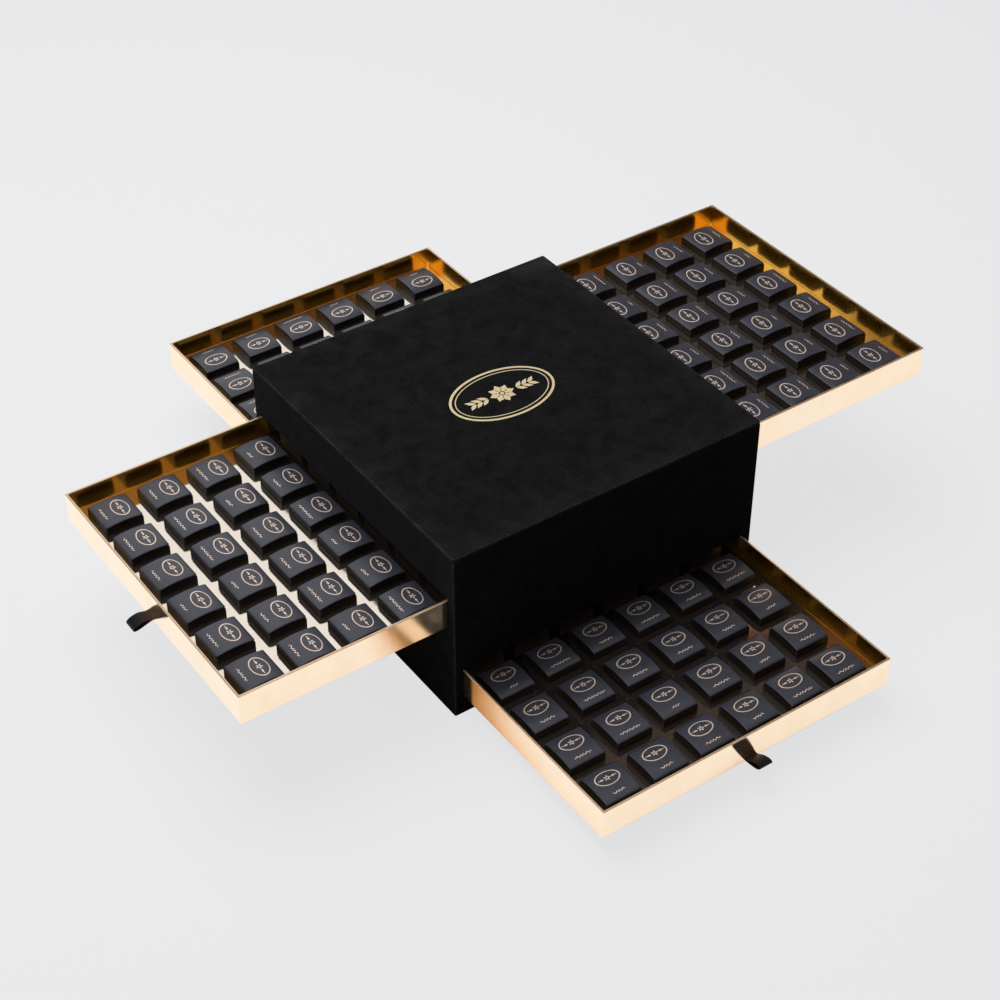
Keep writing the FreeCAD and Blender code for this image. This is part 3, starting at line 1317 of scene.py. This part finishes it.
@dataclass
class GoldTray:
    """One sliding tray: a mirror-gold box of boards with a raised platform in it."""

    side: Side
    wall: float = 2.0 * MM
    floor: float = 1.5 * MM
    card: float = 1.2 * MM
    fold: float = 0.4 * MM
    edge: float = 0.95 * MM
    corner: float = 1.2 * MM
    card_reach: float = 0.5 * MM
    slit_width: float = 12.4 * MM
    slit_height: float = 1.4 * MM
    shell_slit_depth: float = 8.0 * MM
    card_slit_depth: float = 16.0 * MM
    edge_segments: int = 3
    corner_segments: int = 1
    shade_degrees: float = 35.0

    def place(self) -> Matrix:
        """Finds the tray's own frame: the middle of its underside, with the face towards -Y.

        Returns:
            The frame's place.
        """
        low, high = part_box(f"{self.side.tray}_floor")
        middle = (low + high) / 2
        return Matrix.Translation((middle.x, middle.y, low.z)) @ self.side.turn()

    def size(self) -> Vector:
        """Finds the tray's outside sizes.

        Returns:
            The sizes across, along and up.
        """
        low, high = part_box(f"{self.side.tray}_rear")
        width = max(high.x - low.x, high.y - low.y)
        return Vector((width, width, high.z - low.z))

    def slit(self, depth: float) -> Piece:
        """Makes the cutter of the ribbon's slit through the face.

        Args:
            depth: How far it reaches through.

        Returns:
            The cutter.
        """
        middle = Vector((0, -self.size().y / 2, self.floor + self.slit_height / 2))
        return add_block("slit_cutter", Vector((self.slit_width, depth, self.slit_height)), middle)

    def build(self, boards: dict[BoardFace, Material], card: Material) -> None:
        """Builds and dresses the tray's boards and its platform.

        Args:
            boards: The material of each kind of face, in their order.
            card: The platform's material.
        """
        tray = self.side.tray
        shell = self.fold_shell(boards)
        shell.data.transform(self.place())
        nodes = [f"{tray}_{board}" for board in ("floor", "face", "rear", "side_left", "side_right")]
        hand_over(shell, tray, nodes)
        platform = self.fold_platform()
        dress(platform, card)
        platform.data.transform(self.place())
        hand_over(platform, tray, [f"{tray}_platform"])

    def paint(self, shell: Piece, kind: BoardFace, test: PlaceTest) -> None:
        """Gives some faces of the shell, which is open in edit mode, the material of their kind.

        Args:
            shell: The shell.
            kind: The kind of face.
            test: Takes a face's middle and its normal.
        """
        pick_faces(shell, test)
        shell.active_material_index = kind.value
        bpy.ops.object.material_slot_assign()

    def fold_shell(self, boards: dict[BoardFace, Material]) -> Piece:
        """Makes the tray's four walls and floor as one wrapped box, in the tray's own frame.

        Args:
            boards: The material of each kind of face, in their order.

        Returns:
            The shell.
        """
        size = self.size()
        inner = size.x / 2 - self.wall / 2
        shell = add_block(f"{self.side.tray}_shell", size, Vector((0, 0, size.z / 2)))
        dress(shell, *boards.values())

        def within(place: Vector) -> bool:
            """Tells whether a place lies inside the walls."""
            return max(abs(place.x), abs(place.y)) < inner

        def faces_in(place: Vector, normal: Vector) -> bool:
            """Tells whether a face belongs to the inside."""
            upright = abs(normal.z) < MOSTLY_SHARE and within(place)
            return upright or normal.z > MOSTLY_SHARE and place.z < size.z / 2

        def on_rim(place: Vector, normal: Vector) -> bool:
            """Tells whether a face belongs to the rim."""
            return normal.z > TILTED_SHARE and place.z > size.z - self.edge

        with editing(shell):
            pick_faces(shell, lambda place, normal: normal.z > MOSTLY_SHARE)
            bpy.ops.mesh.inset(thickness=self.wall)
            down = (0, 0, self.floor - size.z)
            bpy.ops.mesh.extrude_region_move(TRANSFORM_OT_translate={"value": down})
            pick_edges(shell, lambda place, way: abs(way.z) > NEARLY_SHARE and within(place))
            round_edges(self.corner, self.corner_segments)
            self.paint(shell, BoardFace.INSIDE, faces_in)
        soften_edges(shell, self.edge, self.edge_segments)
        with editing(shell):
            self.paint(shell, BoardFace.RIM, on_rim)
        carve(shell, self.slit(self.shell_slit_depth))
        smooth(shell, self.shade_degrees)
        return shell

    def fold_platform(self) -> Piece:
        """Makes the folded card that raises the chocolates, in the tray's own frame.

        Returns:
            The platform.
        """
        low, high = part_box(f"{self.side.tray}_platform")
        size = high - low + 2 * self.card_reach * Vector((1, 1, 0))
        platform = add_block(f"{self.side.tray}_card", size, Vector((0, 0, self.floor + size.z / 2)))
        with editing(platform):
            drop_faces(platform, lambda place, normal: normal.z < -MOSTLY_SHARE)
            pick_edges(platform, lambda place, way: place.z > self.floor + self.fold)
            round_edges(self.fold, self.edge_segments)
        thicken(platform, self.card, Grow.INWARD)
        carve(platform, self.slit(self.card_slit_depth))
        smooth(platform, self.shade_degrees)
        return platform


# How far the tip of each ribbon stands above its root, or hangs below it
TIP_LIFTS = {Side.FRONT: 5.0 * MM, Side.RIGHT: 0.5 * MM, Side.BACK: -1.5 * MM, Side.LEFT: -3.0 * MM}

# The control points of a ribbon's loop, as shares of its reach and of its swell
LOOP_SHARES = ((0.42, 0.62), (0.86, 0.60), (1.04, 0.22), (1.04, -0.16), (0.84, -0.42), (0.42, -0.26))


@dataclass
class RibbonPull:
    """The satin loop that a tray is pulled by."""

    side: Side
    width: float = 12 * MM
    thick: float = 0.4 * MM
    reach: float = 17 * MM
    swell: float = 5.0 * MM
    tail: float = 16.2 * MM
    wall: float = 2.0 * MM
    floor: float = 1.5 * MM
    root_rise: float = 0.7 * MM
    glow_reach: float = 10 * MM
    merge: float = 0.01 * MM
    ply_share: float = 0.6
    bend_share: float = 0.1
    lift_power: float = 1.3
    order: int = 3
    steps: int = 10
    shade_degrees: float = 50.0

    def outline(self) -> list[tuple[float, float]]:
        """Gives the control points of the strip, as distances out of the face and heights over the underside.

        Returns:
            The points from the upper end behind the face, round the loop, to the lower end.
        """
        ply = self.thick * self.ply_share
        straight = (-self.tail, -self.wall, self.bend_share * self.reach)
        upper = [(out, ply) for out in straight]
        loop = [(out * self.reach, rise * self.swell) for out, rise in LOOP_SHARES]
        lower = [(out, -ply) for out in reversed(straight)]
        points = []
        for out, rise in upper + loop + lower:
            lift = TIP_LIFTS[self.side] * max(0.0, out / self.reach) ** self.lift_power
            points.append((out, self.floor + self.root_rise + rise + lift))
        return points

    def draw(self, points: Sequence[tuple[float, float]]) -> Piece:
        """Draws the strip as a smooth curve and makes it a mesh.

        Args:
            points: The control points.

        Returns:
            The strip, with its X axis out of the face and its Y axis upward.
        """
        curve = bpy.data.curves.new("ribbon_line", "CURVE")
        curve.dimensions = "2D"
        curve.extrude = self.width / 2
        curve.resolution_u = self.steps
        spline = curve.splines.new("NURBS")
        spline.points.add(len(points) - 1)
        for point, (out, rise) in zip(spline.points, points):
            point.co = (out, rise, 0, 1)
        spline.order_u = self.order
        spline.use_endpoint_u = True
        ribbon = bpy.data.objects.new(f"{self.side.tray}_pull", curve)
        bpy.context.scene.collection.objects.link(ribbon)
        take(ribbon)
        bpy.ops.object.convert(target="MESH")
        return ribbon

    def build(self, satin: Material, place: Matrix, size: Vector) -> None:
        """Builds and dresses the ribbon.

        Args:
            satin: The ribbon's material.
            place: The place of the tray's own frame.
            size: The tray's outside sizes.
        """
        points = self.outline()
        ribbon = self.draw(points)
        # Painted reflection of the gold face: full at the face, fading out over a short reach from it
        painted_reflection_share = [max(0.0, 1.0 - max(0.0, point.co.x) / self.glow_reach) for point in ribbon.data.vertices]
        ribbon.data.attributes.new("root", "FLOAT", "POINT").data.foreach_set("value", painted_reflection_share)
        upright = Matrix(((0, 0, 1, 0), (-1, 0, 0, -size.y / 2), (0, 1, 0, 0), (0, 0, 0, 1)))
        ribbon.data.transform(place @ upright)
        with editing(ribbon):
            pick_all()
            bpy.ops.mesh.remove_doubles(threshold=self.merge)
            bpy.ops.mesh.normals_make_consistent(inside=False)
        thicken(ribbon, self.thick, Grow.BOTH)
        smooth(ribbon, self.shade_degrees)
        dress(ribbon, satin)
        hand_over(ribbon, self.side.tray, [f"{self.side.tray}_ribbon"])


@dataclass
class ChocolateGrid:
    """The six rows of six wrapped chocolates of one tray."""

    side: Side
    length: float = 33.5 * MM
    height: float = 9.5 * MM
    crown: float = 1.7 * MM
    edge: float = 1.3 * MM
    band: float = 1.8 * MM
    ledge: float = 0.3 * MM
    ledge_inset: float = 0.075 * MM
    rows: int = 6
    strips: int = 4
    edge_segments: int = 1
    wobble: float = 0.25 * MM
    turn_degrees: float = 0.7
    shade_degrees: float = 60.0

    def arch_top(self, one: Piece) -> None:
        """Arches the top of a chocolate, which is open in edit mode, along Y.

        Args:
            one: The chocolate.
        """
        half = self.length / 2
        levels = [-half + self.length * number / self.strips for number in range(self.strips + 1)]
        for along in levels[1:-1]:
            pick_faces(one, lambda place, normal: normal.z > MOSTLY_SHARE)
            slice_selected((0, along, 0), (0, 1, 0))
        for along in levels:
            pick_points(one, lambda place: place.z > self.height / 2 and abs(place.y - along) < self.edge / 2)
            push((0, 0, -self.crown * (along / half) ** 2))

    def wrap_one(self) -> Piece:
        """Models one wrapped chocolate standing at the origin, its top arched along Y.

        Returns:
            The chocolate, with the UV map that its print is drawn on.
        """
        half = self.length / 2
        below = self.height - self.crown - self.band
        size = Vector((self.length, self.length, self.height))
        one = add_block("chocolate", size, Vector((0, 0, self.height / 2)))

        def at_end(place: Vector, normal: Vector) -> bool:
            """Tells whether a face lies at one of the folded ends."""
            return abs(normal.y) > NEARLY_SHARE

        def to_round(place: Vector, way: Vector) -> bool:
            """Tells whether an edge lies round the top or is an upright corner.

            Args:
                place: The edge's middle.
                way: Its direction.

            Returns:
                True if it is rounded.
            """
            out_x, out_y = abs(place.x), abs(place.y)
            round_top = place.z > below and abs(way.z) < MOSTLY_SHARE
            upright = abs(way.z) > NEARLY_SHARE and abs(out_x - out_y) < self.edge / 2
            return max(out_x, out_y) > half - self.edge / 2 and (round_top or upright)

        with editing(one):
            self.arch_top(one)
            pick_faces(one, at_end)
            slice_selected((0, 0, below), (0, 0, 1))
            pick_faces(one, lambda place, normal: at_end(place, normal) and place.z < below)
            bpy.ops.mesh.inset(thickness=self.ledge_inset, depth=-self.ledge)
            pick_edges(one, to_round)
            round_edges(self.edge, self.edge_segments)
        smooth(one, self.shade_degrees)
        layer = one.data.uv_layers.new(name="wrapper")
        for loop in one.data.loops:
            place = one.data.vertices[loop.vertex_index].co
            layer.data[loop.index].uv = [part / self.length + MIDDLE_SHARE for part in place.xy]
        return one

    def build(self, paper: Material, place: Matrix) -> None:
        """Builds and dresses the tray's chocolates.

        Args:
            paper: The wrapper's material.
            place: The place of the tray's own frame.
        """
        name = f"{self.side.tray}_chocolates"
        low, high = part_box(name)
        span = high.x - low.x - self.length
        stand = low.z - place.translation.z
        chance = random.Random(self.side.value)
        pattern = self.wrap_one()
        copies = []
        starts = [-span / 2 + span * number / (self.rows - 1) for number in range(self.rows)]
        for row_start in starts:
            for column_start in starts:
                across = column_start + chance.uniform(-self.wobble, self.wobble)
                along = row_start + chance.uniform(-self.wobble, self.wobble)
                turn = math.radians(chance.uniform(-self.turn_degrees, self.turn_degrees))
                spot = Matrix.Translation((across, along, stand)) @ Matrix.Rotation(turn, 4, "Z")
                twin = copy_of(pattern, place @ spot)
                mark = twin.data.attributes.new("variant", "FLOAT", "POINT")
                mark.data.foreach_set("value", [chance.random()] * len(twin.data.vertices))
                copies.append(twin)
        bpy.data.objects.remove(pattern)
        grid = join(copies, f"{self.side.tray}_wrapped")
        dress(grid, paper)
        hand_over(grid, self.side.tray, [name])


# Room


def heading(azimuth: float, elevation: float) -> Vector:
    """Gives a direction from its two angles in degrees.

    Args:
        azimuth: The angle from the back towards the right.
        elevation: The angle above the floor.

    Returns:
        The direction, one metre long.
    """
    around, above = math.radians(azimuth), math.radians(elevation)
    level = math.cos(above)
    return Vector((math.sin(around) * level, math.cos(around) * level, math.sin(above)))


@dataclass(frozen=True)
class Flag:
    """A glowing panel that only the mirrors see, which paints a dim brown reflection into the gold.

    The azimuth is in degrees from the back towards the right, and the left and right edges are metres beside
    the box's middle, as seen from the box.
    """

    azimuth: float
    left: float
    right: float
    colour: Colour


@dataclass(frozen=True)
class Lamp:
    """A square soft lamp that points at the box, with its place and side in metres and its power in watts."""

    name: str
    place: Place
    size: float
    power: float


@dataclass
class Studio:
    """The plain pale room: camera, soft lamps, world, floor and flags that paint reflections into the gold."""

    azimuth: float = -34.9581
    elevation: float = 39.4227
    eye: Place = (-0.79701, -1.13694, 1.19175)
    lens: float = 75.80
    sensor: float = 36.0
    pale: Colour = (0.847, 0.847, 0.863)
    mirror_level: float = 1.0
    ambient: float = 0.10
    floor_size: float = 30.0
    floor_albedo: float = 0.14
    floor_bounce: float = 0.6
    # Painted warm light from the gold, in the floor's shadow as the mirrors show it
    floor_shade: Colour = (0.90, 0.40, 0.06)
    floor_mirror_level: float = 1.13
    shade_reach: float = 0.15
    shade_samples: int = 16
    shade_dark_share: float = 0.28
    shade_open_share: float = 0.56
    tint_dark_share: float = 0.43
    tint_open_share: float = 0.63
    flag_distance: float = 1.2
    flag_elevation: float = 39.4
    flag_low: float = -0.6
    flag_high: float = 0.6
    # Glowing panels that only mirrors see: painted reflections that darken and brown the gold
    flags: tuple[Flag, ...] = (
        Flag(azimuth=35.0, left=-0.06, right=0.9, colour=(0.036, 0.026, 0.022)),
        Flag(azimuth=-35.0, left=-0.9, right=-0.10, colour=(0.080, 0.038, 0.018)),
        Flag(azimuth=-35.0, left=-0.10, right=0.034, colour=(0.15, 0.105, 0.11)),
        Flag(azimuth=145.0, left=-0.7, right=0.18, colour=(0.085, 0.040, 0.026)),
        Flag(azimuth=145.0, left=0.18, right=0.6, colour=(0.24, 0.16, 0.11)),
    )
    lamps: tuple[Lamp, ...] = (
        Lamp(name="top_softbox", place=(-0.2, 0.5, 1.6), size=1.6, power=23.0),
        Lamp(name="left_softbox", place=(-2.2, 0.1, 1.3), size=1.4, power=3.5),
    )

    def build(self) -> None:
        """Sets up the whole room."""
        self.set_camera()
        self.set_world()
        self.lay_floor()
        for number, flag in enumerate(self.flags, 1):
            self.hang_flag(f"flag_{number}", flag)
        for lamp in self.lamps:
            self.hang_lamp(lamp)
        bpy.context.scene.view_settings.view_transform = "Standard"

    def hang(self, name: str, data: bpy.types.ID, place: Sequence[float], toward: Vector) -> Piece:
        """Puts a camera or a lamp in its place and points it.

        Args:
            name: Its name.
            data: The camera or the lamp.
            place: Where it hangs, in metres.
            toward: The direction that it points in.

        Returns:
            The object.
        """
        thing = bpy.data.objects.new(name, data)
        bpy.context.scene.collection.objects.link(thing)
        thing.location = place
        thing.rotation_mode = "QUATERNION"
        thing.rotation_quaternion = toward.to_track_quat("-Z", "Y")
        return thing

    def set_camera(self) -> None:
        """Puts the camera at the photograph's viewpoint."""
        data = bpy.data.cameras.new("camera")
        data.lens = self.lens
        data.sensor_width = self.sensor
        away = heading(self.azimuth, self.elevation)
        toward = Vector((-away.x, away.y, -away.z))
        bpy.context.scene.camera = self.hang("camera", data, self.eye, toward)

    def by_ray(self, bench: NodeBench, direct: object, mirrored: object, other: object) -> Socket:
        """Gives a value that differs for what the camera sees, what mirrors show and all other light.

        Args:
            bench: The bench of the world or the material.
            direct: The value for the camera.
            mirrored: The value for rays that a mirror or glass sends straight from the camera.
            other: The value for the rest.

        Returns:
            The value's socket.
        """
        path = bench.add("ShaderNodeLightPath").outputs
        bounced = bench.largest(path["Is Glossy Ray"], path["Is Transmission Ray"])
        straight = bench.math("LESS_THAN", path["Diffuse Depth"], MIDDLE_SHARE)
        in_mirror = bench.choose(bench.times(bounced, straight), other, mirrored)
        return bench.choose(path["Is Camera Ray"], in_mirror, direct)

    def set_world(self) -> None:
        """Makes the world pale to the camera and in mirrors, and a weak even light otherwise."""
        world = bpy.data.worlds.new("room")
        world.use_nodes = True
        bench = NodeBench(world.node_tree)
        strength = self.by_ray(bench, 1.0, self.mirror_level, self.ambient)
        bench.feed(world.node_tree.nodes["Background"], Color=self.pale, Strength=strength)
        bpy.context.scene.world = world

    def lay_floor(self) -> None:
        """Lays the pale floor, which keeps a weak shadow for the camera; in mirrors it shows a strong painted
        shadow from ambient occlusion, tinted with painted warm light from the gold.
        """
        clear_selection()
        bpy.ops.mesh.primitive_plane_add(size=self.floor_size)
        floor = bpy.context.object
        floor.name = "floor"
        material, bench, shader = new_material("pale_floor")
        tone = self.by_ray(bench, self.floor_albedo, self.floor_albedo, self.floor_bounce)
        colour = bench.add("ShaderNodeCombineColor")
        bench.feed(colour, Red=tone, Green=tone, Blue=tone)
        shadow = bench.add("ShaderNodeAmbientOcclusion", samples=self.shade_samples)
        bench.feed(shadow, Distance=self.shade_reach)
        # Painted shadow in mirrors: the floor's glow there fades with ambient occlusion and turns warm near
        # the trays
        openness = shadow.outputs["AO"]
        dark, bright = self.shade_dark_share, self.shade_open_share
        level = bench.ramp(openness, dark, bright, 0.0, self.floor_mirror_level)
        glow = self.by_ray(bench, 1.0 - self.floor_albedo, level, 0.0)
        paleness = bench.ramp(openness, self.tint_dark_share, self.tint_open_share)
        painted_bounce_tint = bench.blend(self.by_ray(bench, 1.0, paleness, 1.0), self.floor_shade, self.pale)
        bench.feed(
            shader,
            Base_Color=colour.outputs[0],
            Roughness=1.0,
            Specular_IOR_Level=0.0,
            Emission_Color=painted_bounce_tint,
            Emission_Strength=glow,
        )
        dress(floor, material)

    def hang_flag(self, name: str, flag: Flag) -> None:
        """Hangs a flag, a glowing panel that only mirrors see, which paints a dim brown reflection into the
        gold to give it depth.

        Args:
            name: Its name.
            flag: Where it hangs, how wide it is and its colour.
        """
        clear_selection()
        bpy.ops.mesh.primitive_plane_add(size=1)
        plane = bpy.context.object
        plane.name = name
        away = heading(flag.azimuth, self.flag_elevation)
        around = math.radians(flag.azimuth)
        beside = Vector((math.cos(around), -math.sin(around), 0))
        upward = beside.cross(away)
        middle = away * self.flag_distance + beside * (flag.left + flag.right) / 2
        middle += upward * (self.flag_low + self.flag_high) / 2
        wide = beside * (flag.right - flag.left)
        tall = upward * (self.flag_high - self.flag_low)
        columns = (wide, tall, -away, middle)
        plane.data.transform(Matrix([column.to_4d() for column in columns]).transposed())
        material, bench, shader = new_material(name)
        bench.feed(
            shader,
            Base_Color=BLACK,
            Roughness=1.0,
            Specular_IOR_Level=0.0,
            Emission_Color=flag.colour,
            Emission_Strength=1.0,
        )
        dress(plane, material)
        for ray in ("camera", "diffuse", "transmission", "volume_scatter", "shadow"):
            setattr(plane, f"visible_{ray}", False)

    def hang_lamp(self, lamp: Lamp) -> None:
        """Hangs a lamp that mirrors don't show.

        Args:
            lamp: Its name, place, size and power.
        """
        data = bpy.data.lights.new(lamp.name, "AREA")
        data.size = lamp.size
        data.energy = lamp.power
        self.hang(lamp.name, data, lamp.place, -Vector(lamp.place)).visible_glossy = False


def main() -> None:
    """Loads the frame, builds every sub-assembly in order and sets up the room."""
    logging.basicConfig(level=logging.INFO, format="%(message)s")
    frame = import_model()
    clear_selection()
    wall_high, top_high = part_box("wall_velvet")[1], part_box("top_velvet")[1]
    velvet = VelvetFinish(half_width=wall_high.x, top=top_high.z, cover=wall_high.z).make()
    board = BoardFinish().make()
    boards = {kind: gold.make() for kind, gold in BOARD_GOLDS.items()}
    card = CARD_GOLD.make()
    paper = WrapperFinish().make()
    satin = RibbonFinish().make()
    case = VelvetCase()
    case.build(velvet)
    LidOrnament().build(FoilFinish().make())
    case.line_boards(board, frame)
    for side in Side:
        tray = GoldTray(side)
        tray.build(boards, card)
        RibbonPull(side).build(satin, tray.place(), tray.size())
        ChocolateGrid(side).build(paper, tray.place())
    Studio().build()


if __name__ == "__main__":
    main()
